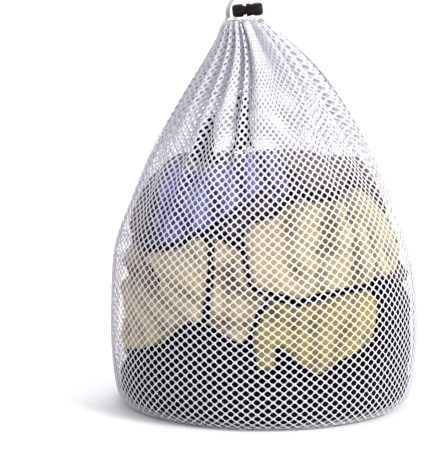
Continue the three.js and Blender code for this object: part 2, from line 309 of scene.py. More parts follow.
lockSettings = {
    # along the lock and radius, in millimetres
    "barrel": [(8.6, 0), (8.6, 4.2), (-2.7, 4.2), (-3.05, 4.55), (-3.05, 5.15), (-2.7, 5.5), (7.6, 5.5),
               (9.2, 5.1), (10.2, 4.3), (10.65, 3.2), (10.65, 0)],
    "button": [(-14.85, 0), (-14.85, 3.3), (-14.2, 4.6), (-13, 5.25), (-11.6, 5.4), (-6.2, 5.4),
               (-5.55, 4.9), (-5.55, 3.9), (3.3, 3.9), (3.6, 3.6), (3.6, 0)],
    "barrelHole": 1.05 * mm, "buttonHole": -1.05 * mm, "holeRadius": 2.9 * mm, "boreLength": 30 * mm,
    "spring": {"wire": 0.3 * mm, "coil": 2.6 * mm, "turns": 2.25, "from": 4.2 * mm, "to": 8.0 * mm},
}


# profile turned round the lock's length, then bored across for the drawstring
def turnedPart(name, profile, holeAt):
    points = [(x * mm, r * mm, 0) for x, r in profile]
    mesh = bpy.data.meshes.new(name)
    mesh.from_pydata(points, [(i, i + 1) for i in range(len(points) - 1)], [])
    obj = addObject(name, mesh)
    screw = obj.modifiers.new("turned", "SCREW")
    screw.axis = "X"
    screw.steps = 64
    screw.render_steps = 64
    screw.use_merge_vertices = True
    screw.merge_threshold = 0.00001
    applyStack(obj)
    bm = bmesh.new()
    bm.from_mesh(obj.data)
    bmesh.ops.remove_doubles(bm, verts=bm.verts, dist=0.000005)
    bmesh.ops.recalc_face_normals(bm, faces=bm.faces)
    bm.to_mesh(obj.data)
    bm.free()
    bore = addBore(obj, "drawstring hole", lockSettings["holeRadius"], lockSettings["boreLength"],
                   (holeAt, 0, 0), 40)
    soft = obj.modifiers.new("softened edges", "BEVEL")
    soft.width = 0.25 * mm
    soft.segments = 2
    soft.limit_method = "ANGLE"
    soft.angle_limit = math.radians(40)
    soft.use_clamp_overlap = True
    applyStack(obj)
    bpy.data.objects.remove(bore, do_unlink=True)
    obj.data.transform(lockMatrix())
    obj.data.shade_smooth()
    obj.data.set_sharp_from_angle(angle=math.radians(35))
    return obj


def makeSpring(name, settings):
    route = []
    for share in np.linspace(0, 1, 91):
        turn = 2 * math.pi * settings["turns"] * share
        along = settings["from"] + (settings["to"] - settings["from"]) * share
        place = Vector((along, settings["coil"] * math.cos(turn), settings["coil"] * math.sin(turn)))
        route.append(tuple(lockMatrix() @ place))
    return tubeOnRoute(name, np.array(route), settings["wire"], sides=8)


barrelPiece = turnedPart("lockBarrel", lockSettings["barrel"], lockSettings["barrelHole"])
buttonPiece = turnedPart("lockButton", lockSettings["button"], lockSettings["buttonHole"])
springPiece = makeSpring("lockSpring", lockSettings["spring"])
print("cord lock made:", len(barrelPiece.data.polygons), len(buttonPiece.data.polygons), "faces")


# floor and light

stageSettings = {
    "depthBehind": 2.2, "depthFront": 12.0, "halfWidth": 9.0, "wallHeight": 5.0, "bend": 0.9,
}


# floor that curves up into a back wall
def makeStage(settings):
    profile = [(-settings["depthFront"], 0.0), (settings["depthBehind"] - settings["bend"], 0.0)]
    for i in range(1, 9):
        angle = math.pi / 2 * i / 8
        along = settings["depthBehind"] - settings["bend"] + settings["bend"] * math.sin(angle)
        profile.append((along, settings["bend"] * (1 - math.cos(angle))))
    profile.append((settings["depthBehind"], settings["wallHeight"]))
    points = []
    for y, z in profile:
        points.append((-settings["halfWidth"], y, z))
        points.append((settings["halfWidth"], y, z))
    faces = [(2 * i, 2 * i + 1, 2 * i + 3, 2 * i + 2) for i in range(len(profile) - 1)]
    obj = meshObject("floor", points, faces)
    return obj


floor = makeStage(stageSettings)


def emptyMaterial(name):
    material = bpy.data.materials.new(name)
    material.use_nodes = True
    material.node_tree.nodes.clear()
    return material, material.node_tree.nodes, material.node_tree.links


# plain surface with no pattern, for the floor and the spring
def makePlainMaterial(name, label, settings):
    material, nodes, links = emptyMaterial(name)
    surface = nodes.new("ShaderNodeBsdfPrincipled")
    surface.label = label
    surface.location = (0, 0)
    output = nodes.new("ShaderNodeOutputMaterial")
    output.location = (300, 0)
    for socket, value in settings.items():
        surface.inputs[socket].default_value = value
    links.new(surface.outputs["BSDF"], output.inputs["Surface"])
    return material


floor.data.materials.append(makePlainMaterial("paleFloor", "matt paper", {
    "Base Color": (0.93, 0.93, 0.94, 1), "Roughness": 0.9, "Specular IOR Level": 0.1,
}))

lightSettings = {
    "key": {"place": (1.35, -1.15, 0.95), "size": 0.9, "power": 44, "colour": (1.0, 0.985, 0.96)},
    "fill": {"place": (-1.5, -1.4, 1.7), "size": 1.6, "power": 11, "colour": (0.88, 0.9, 1.0)},
    "top": {"place": (0.1, 1.1, 2.1), "size": 1.8, "power": 30, "colour": (1, 1, 1)},
    "worldColour": (0.95, 0.96, 1.0, 1),
    "worldStrength": 0.62,
    "aim": (0, 0, 0.15),
}


def makeLights(settings):
    for name in ("key", "fill", "top"):
        lamp = settings[name]
        data = bpy.data.lights.new(name, "AREA")
        data.shape = "DISK"
        data.size = lamp["size"]
        data.energy = lamp["power"]
        data.color = lamp["colour"]
        obj = addObject(name, data)
        obj.location = lamp["place"]
        direction = Vector(settings["aim"]) - Vector(lamp["place"])
        obj.rotation_euler = direction.to_track_quat("-Z", "Y").to_euler()
    world = bpy.data.worlds.new("softWorld")
    world.use_nodes = True
    backdrop = world.node_tree.nodes["Background"]
    backdrop.inputs["Color"].default_value = settings["worldColour"]
    backdrop.inputs["Strength"].default_value = settings["worldStrength"]
    bpy.context.scene.world = world
    bpy.context.scene.view_settings.view_transform = "Standard"


makeLights(lightSettings)
print("camera, drawstring, floor and light made")


# the bag's outline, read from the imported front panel: height, radius and lean

def readOutline(node):
    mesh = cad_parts[node].data
    rows = {}
    for vertex in mesh.vertices:
        rows.setdefault(round(vertex.co.z, 4), []).append(vertex.co.x)
    outline = []
    for z in sorted(rows):
        low, high = min(rows[z]), max(rows[z])
        if abs(z - 0.0012) > 0.0005:  # the inner floor of the skin isn't on the outline
            outline.append((z, (high - low) / 2, (high + low) / 2))
    return np.array(outline)


outlineRows = readOutline("net_panel_front")


# the net goes on over the outside of the hem
overHem = [(22.8, -14.4, 315.4), (20.1, -15.6, 318.4), (17.3, -16.7, 321.2), (15.6, -17.4, 322.9)]


# smooth curve through the outline's rows, even along the cloth
def smoothOutline(rows):
    points = [(r, lean, z) for z, r, lean in rows] + list(np.array(overHem) * mm)
    route = smoothRoute(points, 1 * mm)
    flat = route[:, [0, 2]]
    along = travelled(flat)
    return {"along": along, "r": route[:, 0], "lean": route[:, 1], "z": route[:, 2]}


outline = smoothOutline(outlineRows)
print("outline length up the cloth:", round(float(outline["along"][-1]), 4))

netSettings = {
    "columns": 188,              # half holes around the whole bag
    "rowHeight": 3.55 * mm,      # half the pitch of the holes up the cloth
    "girth": 0.8,                # cloth around the bag
    "holeWidth": 5.1 * mm,
    "holeHeight": 4.5 * mm,
    "halfThickness": 0.36 * mm,
    "folds": 22,
    # height in metres, depth in millimetres
    "foldDepth": [(0.10, 0), (0.15, 1.0), (0.18, 2.2), (0.205, 4.2), (0.235, 7.5), (0.262, 11),
                  (0.285, 12.5), (0.302, 11), (0.3126, 8), (0.318, 5.5), (0.323, 3.5)],
    "sway": 3.2 * mm,
    # how far the holes stay open, by share of the way up
    "closing": ([0.2, 0.5, 0.62, 0.74, 0.88, 1.0], [1.12, 1.02, 0.94, 0.74, 0.52, 0.42]),
    "octagonWidth": 0.89,        # of the hole, at its slanted corners
}
halfColumn = netSettings["girth"] / netSettings["columns"]
rowHeight = netSettings["rowHeight"]


def foldDepth(z):
    heights, depths = np.array(netSettings["foldDepth"]).T
    return np.interp(z, heights, depths * mm)


# 0 on a fold's ridge and 1 in its valley; ridges stand on both side seams
def foldWave(turn):
    phase = netSettings["folds"] * turn
    phase = phase + 1.5 * np.sin(2 * turn) + 1.1 * np.sin(5 * turn) + 0.8 * np.sin(9 * turn)
    phase = phase - 1.3 * np.sin(3 * turn) + 0.5 * np.sin(14 * turn)
    return 0.5 - 0.5 * np.cos(phase)


def foldReach(turn):
    return 0.75 + 0.25 * np.sin(4 * turn + 1.0) + 0.2 * np.sin(7 * turn + 2.2)


# how far the cloth stands in from the outline, at an angle round the bag and a height
def clothInset(turn, z):
    lower = np.clip((z - 0.12) / 0.13, 0, 1)
    depth = foldDepth(z) * (lower + (1 - lower) * foldReach(turn))
    folds = depth * foldWave(turn)
    drape = 2.6 * mm * np.sin(6 * turn + 0.6 + 9 * z)
    drape = drape * np.interp(z, [0.12, 0.22, 0.29, 0.312], [0, 1, 0.8, 0])
    bulge = 1.1 * mm * np.sin(5 * turn + 31 * z) * np.sin(3 * turn - 47 * z + 1.3)
    bulge = bulge * np.interp(z, [0, 0.03, 0.2, 0.26], [0, 1, 1, 0])
    return folds + np.abs(drape) * 0.8 + bulge - 0.8 * mm


# angle of a place on the cloth; the folds drift a little round the bag as they rise
def wallAngle(turn, z):
    return np.pi + turn + 0.05 * np.sin(2 * turn + 1) * np.clip(z / 0.3, 0, 1)


# the uneven top edge of the gathers
def gatherLift(turn, z):
    high = np.clip((z - 0.316) / 0.006, 0, 1)
    return high * mm * (0.9 * np.sin(7 * turn + 1) + 0.6 * np.sin(12 * turn) - 0.5)


def wallPoints(column, row):
    turn = 2 * np.pi * column / netSettings["columns"]
    up = row * rowHeight
    total = outline["along"][-1]
    sway = netSettings["sway"] * (np.sin(3 * turn + 0.8) + 0.6 * np.sin(5 * turn + 2.5))
    up = up + sway * np.sin(np.pi * np.clip(up / total, 0, 1)) ** 2
    z = np.interp(up, outline["along"], outline["z"])
    r = np.interp(up, outline["along"], outline["r"]) - clothInset(turn, z)
    lean = np.interp(up, outline["along"], outline["lean"])
    angle = wallAngle(turn, z)
    z = z + gatherLift(turn, z)
    low = netSettings["halfThickness"] + 0.2 * mm
    return np.stack([lean + r * np.cos(angle), r * np.sin(angle), np.maximum(z, low)], axis=-1)


def wallNormals(column, row):
    across = wallPoints(column + 0.25, row) - wallPoints(column - 0.25, row)
    up = wallPoints(column, row + 0.25) - wallPoints(column, row - 0.25)
    normal = np.cross(across, up)
    return normal / np.maximum(np.linalg.norm(normal, axis=1, keepdims=True), 1e-9)


def basePoints(column, row):
    x = column * halfColumn
    y = row * rowHeight
    return np.stack([x, y, np.full_like(x, netSettings["halfThickness"] + 0.2 * mm)], axis=-1)


def baseNormals(column, row):
    return np.tile([0.0, 0.0, -1.0], (len(column), 1))


# the knit closes up where the cloth is gathered
def holeClosing(row):
    share = row * rowHeight / outline["along"][-1]
    return float(np.interp(share, *netSettings["closing"]))


# one ring of eight faces on each side of the cloth around every hole, thickest along the bands
def latticeMesh(cells, pointsAt, normalsAt, closing=lambda row: 1.0, flip=False):
    around = [(1, 0), (0.5, 0.5), (0, 1), (-0.5, 0.5), (-1, 0), (-0.5, -0.5), (0, -1), (0.5, -0.5)]
    uses = {}
    for a, b in cells:
        for da, db in around:
            key = (a + da, b + db)
            uses[key] = uses.get(key, 0) + 1
    columns, rows, lifts = [], [], []
    front, back = {}, {}
    for key, count in uses.items():
        full = 2 if key[0] % 1 else 4
        inside = count == full
        for lookup, side in ((front, 1), (back, -1)):
            if side == 1 or inside:
                lookup[key] = len(columns)
                columns.append(key[0])
                rows.append(key[1])
                lifts.append(side if inside else 0)
            else:
                lookup[key] = front[key]
    faces = []
    for a, b in cells:
        holes = []
        closed = closing(b)
        for i in range(8):
            angle = i * math.pi / 4
            reach = closed * (netSettings["octagonWidth"] if i % 2 else 1.0) / 2
            holes.append(len(columns))
            columns.append(a + reach * netSettings["holeWidth"] * math.cos(angle) / halfColumn)
            rows.append(b + reach * netSettings["holeHeight"] * math.sin(angle) / rowHeight)
            lifts.append(0)
        for i in range(8):
            j = (i + 1) % 8
            here = (a + around[i][0], b + around[i][1])
            there = (a + around[j][0], b + around[j][1])
            faces.append((front[here], front[there], holes[j], holes[i]))
            faces.append((back[there], back[here], holes[i], holes[j]))
    if flip:
        faces = [face[::-1] for face in faces]
    columns, rows, lifts = np.array(columns, float), np.array(rows, float), np.array(lifts, float)
    normals = normalsAt(columns, rows)
    points = pointsAt(columns, rows) + normals * lifts[:, None] * netSettings["halfThickness"]
    uv = np.stack([columns * halfColumn, rows * rowHeight], axis=1)
    return points, faces, uv


def netPanel(name, side):
    topRow = int(outline["along"][-1] / rowHeight) + 1
    half = netSettings["columns"] // 2
    firstColumn = 0 if side < 0 else half
    wallCells = []
    for a in range(firstColumn, firstColumn + half):
        for b in range(1, topRow):
            if (a + b) % 2 == 0:
                wallCells.append((a, b))
    baseReach = outline["r"][0] - 1 * mm
    baseCells = []
    for a in range(-28, 29):
        for b in range(0 if side > 0 else -34, 34 if side > 0 else 0):
            inReach = math.hypot(a * halfColumn, b * rowHeight) < baseReach
            if (a + b) % 2 == 0 and inReach:
                baseCells.append((a, b))
    wall, wallFaces, wallUv = latticeMesh(wallCells, wallPoints, wallNormals, holeClosing)
    base, baseFaces, baseUv = latticeMesh(baseCells, basePoints, baseNormals, flip=True)
    faces = wallFaces + [tuple(i + len(wall) for i in face) for face in baseFaces]
    obj = meshObject(name, np.concatenate([wall, base]), faces)
    addUvs(obj, np.concatenate([wallUv, baseUv])[[i for face in faces for i in face]])
    return obj


netFront = netPanel("netFront", -1)
netBack = netPanel("netBack", 1)
print("net made:", len(netFront.data.polygons) + len(netBack.data.polygons), "faces")


# the seam allowances, pressed flat against the inside of the net

seamSettings = {"halfWidth": 3.2 * mm, "behind": 1.6 * mm, "thickness": 0.5 * mm, "fromUp": 10 * mm}


def sideSeam(name, column):
    across = np.linspace(-1, 1, 7) * seamSettings["halfWidth"] / halfColumn
    rows = np.arange(seamSettings["fromUp"], outline["along"][-1], 4 * mm) / rowHeight
    grid = [(column + a, row) for row in rows for a in across]
    columns, ups = np.array(grid).T
    points = wallPoints(columns, ups) - wallNormals(columns, ups) * seamSettings["behind"]
    wide = len(across)
    faces = []
    for i in range(len(rows) - 1):
        for k in range(wide - 1):
            a = i * wide + k
            faces.append((a, a + 1, a + 1 + wide, a + wide))
    obj = meshObject(name, points, faces)
    uv = np.stack([columns * halfColumn, ups * rowHeight], axis=1)
    addUvs(obj, uv[np.array(faces).ravel()])
    solidify = obj.modifiers.new("allowance", "SOLIDIFY")
    solidify.thickness = seamSettings["thickness"]
    solidify.offset = -1
    return obj


seamLeft = sideSeam("sideSeamLeft", 0)
seamRight = sideSeam("sideSeamRight", netSettings["columns"] // 2)


# the gathered hem: a ruffled tube of doubled cloth round the drawstring

hemSettings = {
    # radius, height, depth of the gathers, all in millimetres; a closed loop round the section
    "section": [(22.6, 311.4, 7.5), (21.8, 313.2, 7), (19.4, 315.9, 5.6), (17, 318.6, 4.6),
                (15.3, 320.8, 3.8), (14.2, 322.6, 3.2), (13.2, 323.7, 2.6), (11.6, 323.7, 2),
                (9.8, 322.6, 1.2), (8.3, 320.4, 0.8), (7.9, 317.4, 0.8), (9.6, 314.4, 1),
                (13, 312.2, 2), (18.5, 311, 5)],
    "leanLow": -13.3 * mm, "leanHigh": -17.7 * mm, "lowZ": 312.9 * mm, "highZ": 323.4 * mm,
    "around": 264,
    "againstNet": 6,          # how many points of the section lie against the net
    "behindNet": 1.9 * mm,
    "slot": {"place": (-6.6 * mm, 0, 318.7 * mm), "radius": 4.4 * mm, "length": 7.4 * mm},
}


def hemLean(z):
    heights = [hemSettings["lowZ"], hemSettings["highZ"]]
    return np.interp(z, heights, [hemSettings["leanLow"], hemSettings["leanHigh"]])


def gatheredHem(name):
    section = np.array(hemSettings["section"]) * mm
    around = hemSettings["around"]
    points = []
    radii, heights, depths = section.T
    outside = np.arange(len(section)) < hemSettings["againstNet"]
    for i in range(around):
        turn = 2 * math.pi * i / around
        inset = depths * foldWave(turn) * (0.8 + 0.3 * math.sin(3 * turn + 2))
        netRadius = np.interp(heights, outline["z"], outline["r"]) - clothInset(turn, heights)
        radius = np.where(outside, netRadius - hemSettings["behindNet"], radii - inset)
        lean = np.where(outside, np.interp(heights, outline["z"], outline["lean"]), hemLean(heights))
        angle = wallAngle(turn, heights)
        z = heights + gatherLift(turn, heights)
        points.extend(zip(lean + radius * np.cos(angle), radius * np.sin(angle), z))
    count = len(section)
    faces = []
    uvs = []
    stepUp = 3 * mm
    for i in range(around):
        j = (i + 1) % around
        for k in range(count):
            m = (k + 1) % count
            faces.append((i * count + k, j * count + k, j * count + m, i * count + m))
            left, right = i * netSettings["girth"] / around, (i + 1) * netSettings["girth"] / around
            low, high = k * stepUp, (k + 1) * stepUp
            uvs.append([(left, low), (right, low), (right, high), (left, high)])
    obj = meshObject(name, points, faces)
    addUvs(obj, uvs)
    addSubdivision(obj, "soft gathers")
    # the slot that lets the drawstring out of the channel, up to the lock
    slot = hemSettings["slot"]
    punch = addBore(obj, "drawstring slot", slot["radius"], slot["length"], slot["place"], 24,
                    (0, math.pi / 2, 0))
    applyStack(obj)
    bpy.data.objects.remove(punch, do_unlink=True)
    return obj


hemPiece = gatheredHem("gatheredHem")


# one row of stitches round the hem's lower edge
stitchSettings = {
    "count": 72, "radius": 24.65 * mm, "depth": 7 * mm, "z": 313.8 * mm, "leanAt": 313.6 * mm,
    "thread": 0.28 * mm,
}


def hemStitches(name):
    settings = stitchSettings
    parts = []
    for i in range(settings["count"]):
        route = []
        for share in (0.12, 0.31, 0.5, 0.69, 0.88):
            turn = 2 * math.pi * (i + share) / settings["count"]
            wave = float(foldWave(np.array(turn)))
            inset = settings["depth"] * wave * (0.8 + 0.3 * math.sin(3 * turn + 2))
            radius = settings["radius"] - inset - 0.5 * mm * abs(share - 0.5)
            route.append((hemLean(settings["leanAt"]) + radius * math.cos(math.pi + turn),
                          radius * math.sin(math.pi + turn), settings["z"]))
        parts.append(tubeOnRoute(name, np.array(route), settings["thread"], sides=6))
    return joinObjects(parts)


stitchPiece = hemStitches("hemStitches")


# the load: garments pressed against the inside of the net
# outlines are (degrees round from the front, height in millimetres), seen from outside

# folds are (direction in degrees, spacing and height in millimetres, shift)
bundleSettings = {"roll": 8.5, "bundle": 9, "rollWidth": 7.5 * mm, "rumple": 3 * mm, "shadeDepth": 8 * mm}
garments = {
    "lavenderGarment": {
        "node": "lavender_garment", "slot": "lavender_cloth", "depth": 3.0,
        "outline": [(-81, 204), (-66, 208), (-49, 203), (-33, 204), (-20, 213), (-10, 219), (1, 221),
                    (13, 218), (13, 205), (15, 191), (7, 177), (-1, 186), (-8, 181), (-17, 169),
                    (-25, 159), (-31, 155), (-36, 149), (-43, 145), (-52, 140), (-69, 138), (-58, 151),
                    (-63, 177)],
        "folds": [(62, 30, 5.5, 0.4), (15, 19, 2.6, 2.0), (-35, 44, 3.0, 5.0)],
    },
    "creamGarmentLeft": {
        "node": "cream_garment_left", "slot": "cream_cloth", "depth": 3.6,
        "outline": [(-104, 132), (-88, 140), (-74, 139), (-61, 125), (-50, 111), (-48, 113), (-57, 126),
                    (-64, 134), (-54, 138), (-42, 143), (-35, 149), (-30, 154), (-25, 147), (-24, 126),
                    (-25, 105), (-26.5, 84), (-32, 81), (-38, 77), (-49, 61), (-63, 52), (-86, 44), (-103, 52)],
        "folds": [(78, 38, 4.5, 2.2), (35, 24, 2.6, 0.9)],
    },
    "creamGarmentMiddle": {
        "node": "cream_garment_middle", "slot": "cream_cloth", "depth": 6.5,
        "outline": [(-26, 151), (-20, 152), (-15, 147), (-8, 144), (-6.5, 136), (-6, 118), (2, 109),
                    (0, 98), (-4, 86), (-7, 74), (-11, 65), (-17, 73), (-27, 84), (-26, 105), (-25.5, 125)],
        "folds": [(70, 30, 4.0, 3.1), (-20, 26, 2.4, 1.7)],
    },
    "creamGarmentRight": {
        "node": "cream_garment_right", "slot": "cream_cloth", "depth": 3.2,
        "outline": [(-9, 141), (-11, 153), (-9, 164), (-1, 168), (5, 171), (11, 177), (18, 183), (28, 181),
                    (42, 180), (49, 187), (58, 189), (70, 180), (84, 160), (95, 132), (82, 117), (62, 114),
                    (45, 111), (32, 109), (24, 107), (12, 103), (3, 108), (-6, 114)],
        "folds": [(40, 42, 6.0, 0.2), (-25, 30, 3.5, 2.6), (85, 22, 1.8, 4.0)],
    },
    "oliveGarment": {
        "node": "olive_garment", "slot": "olive_cloth", "depth": 5.0,
        "outline": [(1, 106), (12, 104), (26, 108), (37, 111), (47, 112), (50, 96), (48, 63), (33, 53),
                    (21, 41), (11, 52), (4, 66), (3, 48), (-5, 47), (-7, 73), (-4, 89)],
        "folds": [(60, 34, 4.0, 1.1), (-30, 25, 2.6, 3.3)],
    },
}
plainRadius = 125 * mm     # angles become lengths on this radius
edgeStep = 3.2 * mm
innerStep = 4.0 * mm


# how deep the folds of a cloth lie at each place, with round ridges and narrow valleys
def foldsAt(s, z, kinds):
    depth = np.zeros_like(s)
    for direction, spacing, height, shift in kinds:
        angle = math.radians(direction)
        u = (s * math.cos(angle) + z * math.sin(angle)) / (spacing * mm)
        v = (-s * math.sin(angle) + z * math.cos(angle)) / (spacing * mm)
        phase = u + 0.42 * np.sin(0.9 * v + shift) + 0.22 * np.sin(2.1 * v + 1.3 * u + 2 * shift)
        crest = np.abs(np.sin(math.pi * phase))
        fade = 0.6 + 0.4 * np.sin(1.1 * v + 0.7 * u + 3 * shift)
        depth = depth + height * mm * (1 - crest) ** 1.3 * fade
    return 2.6 * depth


# stores painted shade per vertex in the crease attribute, which the cloth material darkens by
def addShade(obj, perVertex):
    layer = obj.data.attributes.new("crease", "FLOAT", "POINT")
    layer.data.foreach_set("value", np.clip(perVertex, 0, 1).astype(np.float32))


# signed distance into a closed outline, positive inside
def distanceInto(corners, s, z):
    points = np.stack([s, z], axis=-1)
    nearest = np.full(s.shape, 1e9)
    inside = np.zeros(s.shape, bool)
    for (x1, y1), (x2, y2) in zip(corners, np.roll(corners, -1, axis=0)):
        start, run = np.array([x1, y1]), np.array([x2 - x1, y2 - y1])
        share = np.clip(((points - start) @ run) / max(run @ run, 1e-12), 0, 1)
        gap = np.linalg.norm(points - start - share[..., None] * run, axis=-1)
        nearest = np.minimum(nearest, gap)
        crosses = (y1 > z) != (y2 > z)
        reach = x1 + (z - y1) / ((y2 - y1) if abs(y2 - y1) > 1e-12 else 1e-12) * (x2 - x1)
        inside ^= crosses & (s < reach)
    return np.where(inside, nearest, -nearest)


# closed curve through the corners of an outline, at even steps; at a tautness of 1 its sides are straight
def closedOutline(points):
    corners = np.array([(math.radians(angle) * plainRadius, height * mm) for angle, height in points])
    before, after, further = (np.roll(corners, step, axis=0) for step in (1, -1, -2))
    share = np.linspace(0, 1, 14, endpoint=False)[:, None, None]
    tautness = 0.6
    leave, arrive = (after - before) * (1 - tautness) / 2, (further - corners) * (1 - tautness) / 2
    curve = ((2 * share ** 3 - 3 * share ** 2 + 1) * corners + (share ** 3 - 2 * share ** 2 + share) * leave
             + (3 * share ** 2 - 2 * share ** 3) * after + (share ** 3 - share ** 2) * arrive)
    loop = curve.transpose(1, 0, 2).reshape(-1, 2)
    closed = np.vstack([loop, loop[:1]])
    along = travelled(closed)
    even = np.linspace(0, along[-1], int(along[-1] / edgeStep), endpoint=False)
    return np.stack([np.interp(even, along, closed[:, k]) for k in range(2)], axis=1)


# pushes an outline's points out of another garment's outline, to lie beside it
def besideOutline(border, other):
    border = border.copy()
    gap, probe = 1.1 * mm, 0.2 * mm
    for step in range(30):
        s, z = border[:, 0], border[:, 1]
        over = np.maximum(distanceInto(other, s, z) + gap, 0)
        slope = np.stack([distanceInto(other, s + probe, z) - distanceInto(other, s - probe, z),
                          distanceInto(other, s, z + probe) - distanceInto(other, s, z - probe)], axis=1)
        slope /= np.maximum(np.linalg.norm(slope, axis=1, keepdims=True), 1e-9)
        border = border - slope * over[:, None]
    return border


# each garment lies beside those named before it
garmentOutlines = {}
for name in (
    "creamGarmentRight", "lavenderGarment", "creamGarmentLeft", "oliveGarment", "creamGarmentMiddle"
):
    border = closedOutline(garments[name]["outline"])
    for other in garmentOutlines.values():
        border = besideOutline(border, other)
    garmentOutlines[name] = border


# room that the net's folds and drape take inside the outline
def slackAt(z):
    return foldDepth(z) * 0.9 + 2.2 * mm * np.interp(z, [0.12, 0.22], [0, 1]) + 1.0 * mm


def insideNet(s, z, depth):
    angle = s / plainRadius
    r = np.interp(z, outline["z"], outline["r"]) - slackAt(z) - depth
    lean = np.interp(z, outline["z"], outline["lean"])
    return np.stack([lean + r * np.sin(angle), -r * np.cos(angle), z], axis=-1)


# a folded garment: a soft bundle with rolled edges and folds over its outer face
def makeGarment(name, settings, border):
    low, high = border.min(axis=0), border.max(axis=0)
    grid = []
    for row, z in enumerate(np.arange(low[1], high[1], innerStep * 0.87)):
        for s in np.arange(low[0] + (row % 2) * innerStep / 2, high[0], innerStep):
            grid.append((s, z))
    grid = np.array(grid)
    grid = grid[distanceInto(border, grid[:, 0], grid[:, 1]) > 0.6 * innerStep]
    flat = np.vstack([border, grid])
    count = len(border)
    edges = [(i, (i + 1) % count) for i in range(count)]
    made = delaunay_2d_cdt([Vector(p) for p in flat], edges, [], 1, 1e-7)
    flat = np.array([tuple(p) for p in made[0]])
    faces = [list(face) for face in made[2]]
    s, z = flat[:, 0], flat[:, 1]
    into = np.maximum(distanceInto(border, s, z), 0)
    onBorder = into < 0.05 * mm
    settings = {**bundleSettings, **settings}
    rollDepth, depth = settings["roll"] * mm, settings["depth"] * mm
    share = np.clip(into / settings["rollWidth"], 0, 1)
    roll = rollDepth * (1 - np.sqrt(1 - (1 - share) ** 2))
    folds = foldsAt(s, z, settings["folds"]) * np.clip(into / (6 * mm), 0.25, 1)
    front = insideNet(s, z, depth + roll + folds * 0.9)
    bulge = settings["bundle"] * mm * np.clip(into / (14 * mm), 0, 1) ** 0.6
    back = insideNet(s, z, depth + rollDepth + 3 * mm + bulge)
    if "clearOf" in settings:    # out of the space kept open in the middle
        for side in (front, back):
            side[:, 1] = np.minimum(side[:, 1], -settings["clearOf"] * mm)
    points = [tuple(p) for p in front]
    # painted shade: darker in the fold valleys and towards the rolled edges; the back face gets an even half
    # shade
    shade = list(np.clip(folds / settings["shadeDepth"], 0, 1) ** 1.3 * 0.9 + 0.5 * (1 - share) ** 2)
    twin = {}
    for i in range(len(flat)):
        if onBorder[i]:
            twin[i] = i
        else:
            twin[i] = len(points)
            points.append(tuple(back[i]))
            shade.append(0.5)
    allFaces = faces + [[twin[i] for i in face][::-1] for face in faces]
    obj = meshObject(name, points, allFaces)
    addShade(obj, np.array(shade))
    addUvs(obj, flat[[i for face in faces + [face[::-1] for face in faces] for i in face]])
    addSubdivision(obj, "soft cloth")
    rumple = bpy.data.textures.new(name + "Rumple", "CLOUDS")
    rumple.noise_scale = 0.02
    rumple.noise_depth = 1
    crumpled = obj.modifiers.new("rumpled", "DISPLACE")
    crumpled.texture = rumple
    crumpled.strength = settings["rumple"]
    crumpled.mid_level = 0.9
    return obj


garmentPieces = {}
for name, settings in garments.items():
    garmentPieces[name] = makeGarment(name, settings, garmentOutlines[name])


# a sleeve of the dark garment stands up behind the lavender one, against the gathered net
sleeveSettings = {
    "outline": [(-49, 208), (-55, 220), (-58, 238), (-53, 249), (-44, 240), (-36, 224), (-29, 212),
                (-22, 224), (-27, 248), (-33, 262), (-24, 266), (-14, 262), (-10, 246), (-7, 226), (-5, 212),
                (-12, 206)],
    "roll": 3.0, "bundle": 5.0, "clearOf": 38,
    "depth": 8.0, "folds": [(20, 24, 3.0, 0.6), (70, 30, 2.0, 2.2)],
}
sleeveOutline = besideOutline(closedOutline(sleeveSettings["outline"]), garmentOutlines["lavenderGarment"])
sleevePiece = makeGarment("darkSleeve", sleeveSettings, sleeveOutline)


# the dark and the mauve garments fill the bag behind the others
coreSettings = {
    "around": 200,
    "splitZ": 112 * mm,
    "clear": 2.2 * mm,      # behind the net, where nothing covers it
    "covered": 34 * mm,     # further in, behind the front garments
    "folds": [(75, 40, 2.0, 0.7), (20, 27, 1.2, 2.9), (-50, 33, 1.2, 1.9)],
    "domeTop": 207 * mm,
    "bottom": 4.2 * mm,
    "topEdge": 180, "topRise": 26,    # in millimetres
    "edgeRoll": 9 * mm, "bottomRoll": 6 * mm,
    "shadeReach": 24 * mm,
}


def coverDepth(s, z):
    covered = np.zeros_like(s)
    for border in garmentOutlines.values():
        covered = np.maximum(covered, np.clip((distanceInto(border, s, z) + 9 * mm) / (8 * mm), 0, 1))
    return coreSettings["covered"] * covered


# shadow on the cloth just outside the front garments' edges
def edgeShade(s, z):
    shade = np.zeros_like(s)
    for border in garmentOutlines.values():
        shade = np.maximum(shade, np.clip(1 + distanceInto(border, s, z) / coreSettings["shadeReach"], 0, 1))
    return shade ** 0.7


def splitHeight(turn):
    wave = 9 * np.sin(3 * turn + 0.4) + 6 * np.sin(5 * turn + 2) + 3 * np.sin(11 * turn)
    return coreSettings["splitZ"] + wave * mm


# the load stands higher on the right and behind than under the lavender garment
def coreTop(turns):
    right = 1 / (1 + np.exp(-(np.degrees(turns) - 10) / 4))
    behind = 1 / (1 + np.exp((np.degrees(turns) + 105) / 8))
    rise = coreSettings["topRise"] * np.maximum(right, behind)
    return (coreSettings["topEdge"] + rise + 2.5 * np.sin(5 * turns)) * mm


# how far an edge rolls in, from a distance of 0 at the edge to 1 where the face is flat
def edgeRoll(distance):
    return 1 - np.sqrt(1 - np.clip(1 - distance, 0, 1) ** 2)


